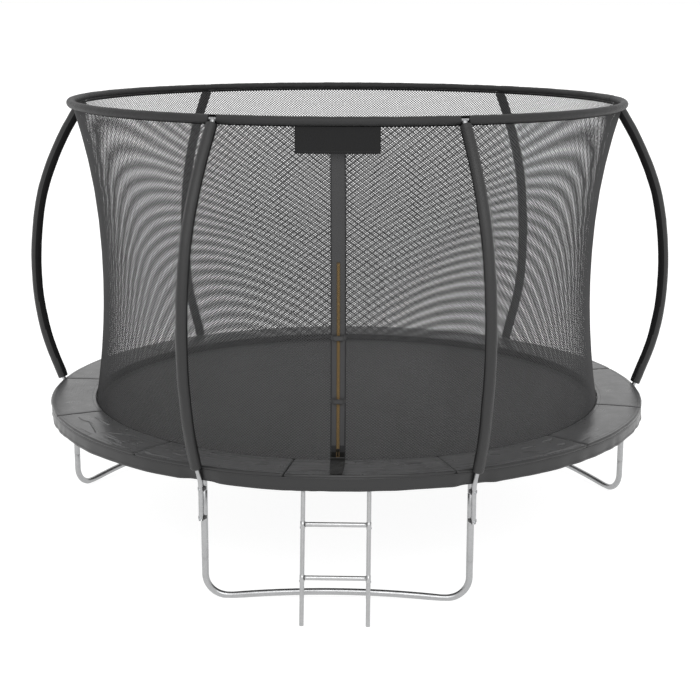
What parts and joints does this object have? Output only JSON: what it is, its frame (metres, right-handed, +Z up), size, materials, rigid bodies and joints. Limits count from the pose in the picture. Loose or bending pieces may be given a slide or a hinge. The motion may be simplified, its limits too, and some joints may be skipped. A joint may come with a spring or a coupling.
{
  "type": "trampoline",
  "caption": "Round garden trampoline with a tall net enclosure on bowed padded poles, zipped door, safety pad, sprung mat and a hooked-on ladder.",
  "frame": {"origin": "on the floor, at the middle of the footprint; the round frame is centred 88 mm behind it, because the ladder stands out in front", "axes": "+Z up, -Y out through the door and the ladder, +X to the right of the door seen from outside"},
  "size_m": [4.0942, 3.8746, 2.5907],
  "materials": {
    "frame_tube": "galvanised, satin",
    "ladder_tube": "galvanised, satin",
    "hoop_fitting": "galvanised, satin",
    "spring": "zinc plated",
    "pole_sleeve": "matt woven cover over foam",
    "hoop_hem": "matt woven",
    "net": "knotted mesh",
    "pad_cover": "coated fabric, soft sheen",
    "jump_mat": "woven polypropylene",
    "door_webbing": "flat webbing",
    "zip_coil": "moulded coil",
    "zip_metal": "zinc alloy",
    "banner_cloth": "plain cloth"
  },
  "bodies": {
    "frame": {"top_rail_front_right": "frame_tube", "top_rail_right": "frame_tube", "top_rail_back_right": "frame_tube", "top_rail_back_left": "frame_tube", "top_rail_left": "frame_tube", "top_rail_front_left": "frame_tube", "leg_upright_front_right": "frame_tube", "leg_upright_right": "frame_tube", "leg_upright_back_right": "frame_tube", "leg_upright_back_left": "frame_tube", "leg_upright_left": "frame_tube", "leg_upright_front_left": "frame_tube", "enclosure_pole_front_right": "frame_tube", "enclosure_pole_right": "frame_tube", "enclosure_pole_back_right": "frame_tube", "enclosure_pole_back_left": "frame_tube", "enclosure_pole_left": "frame_tube", "enclosure_pole_front_left": "frame_tube", "pole_sleeve_front_right": "pole_sleeve", "pole_sleeve_right": "pole_sleeve", "pole_sleeve_back_right": "pole_sleeve", "pole_sleeve_back_left": "pole_sleeve", "pole_sleeve_left": "pole_sleeve", "pole_sleeve_front_left": "pole_sleeve", "hoop_tee_front_right": "hoop_fitting", "hoop_tee_right": "hoop_fitting", "hoop_tee_back_right": "hoop_fitting", "hoop_tee_back_left": "hoop_fitting", "hoop_tee_left": "hoop_fitting", "hoop_tee_front_left": "hoop_fitting", "hoop_hem_right_front": "hoop_hem", "hoop_hem_right_back": "hoop_hem", "hoop_hem_back": "hoop_hem", "hoop_hem_left_back": "hoop_hem", "hoop_hem_left_front": "hoop_hem", "hoop_hem_front": "hoop_hem", "net_panel_front_right": "net", "net_panel_right": "net", "net_panel_back_right": "net", "net_panel_back_left": "net", "net_panel_left": "net", "net_panel_front_left": "net", "leg_base_front": "frame_tube", "leg_base_right": "frame_tube", "leg_base_left": "frame_tube", "safety_pad": "pad_cover", "pad_skirt": "pad_cover", "mat_springs": "spring", "door_strip": "door_webbing", "zip_track": "zip_coil", "banner": "banner_cloth"},
    "mat": {"jump_mat": "jump_mat"},
    "ladder": {"ladder_upright_left": "ladder_tube", "ladder_upright_right": "ladder_tube", "ladder_step_lower": "ladder_tube", "ladder_step_upper": "ladder_tube"},
    "zip_slider": {"zip_slider": "zip_metal"},
    "zip_pull": {"zip_pull": "zip_metal"},
    "door_strap_lower": {"door_strap_lower": "door_webbing"},
    "door_strap_upper": {"door_strap_upper": "door_webbing"}
  },
  "joints": [
    {"name": "mat_bounce", "type": "slide", "parent": "frame", "child": "mat", "axis": [0, 0, 1], "range_m": [-0.35, 0], "stiffness_N_per_m": 8000, "springref_m": 0.04, "deforming": ["mat_springs"]},
    {"name": "ladder_swing", "type": "hinge", "parent": "frame", "child": "ladder", "pos_m": [0, -1.70372, 0.718], "axis": [-1, 0, 0], "range_deg": [0, 13]},
    {"name": "zip_travel", "type": "hinge", "parent": "frame", "child": "zip_slider", "pos_m": [0, -5.834, 1.504], "axis": [1, 0, 0], "range_deg": [0, 12.8]},
    {"name": "zip_pull_swing", "type": "hinge", "parent": "zip_slider", "child": "zip_pull", "pos_m": [0, -1.48799, 0.8205], "axis": [-1, 0, 0], "range_deg": [0, 100]},
    {"name": "door_strap_lower_open", "type": "hinge", "parent": "frame", "child": "door_strap_lower", "pos_m": [-0.0415, -1.44385, 1.079], "axis": [0, 0.0958, 0.9954], "range_deg": [-120, 0]},
    {"name": "door_strap_upper_open", "type": "hinge", "parent": "frame", "child": "door_strap_upper", "pos_m": [-0.0415, -1.42422, 1.419], "axis": [0, 0.0192, 0.9998], "range_deg": [-120, 0]}
  ]
}
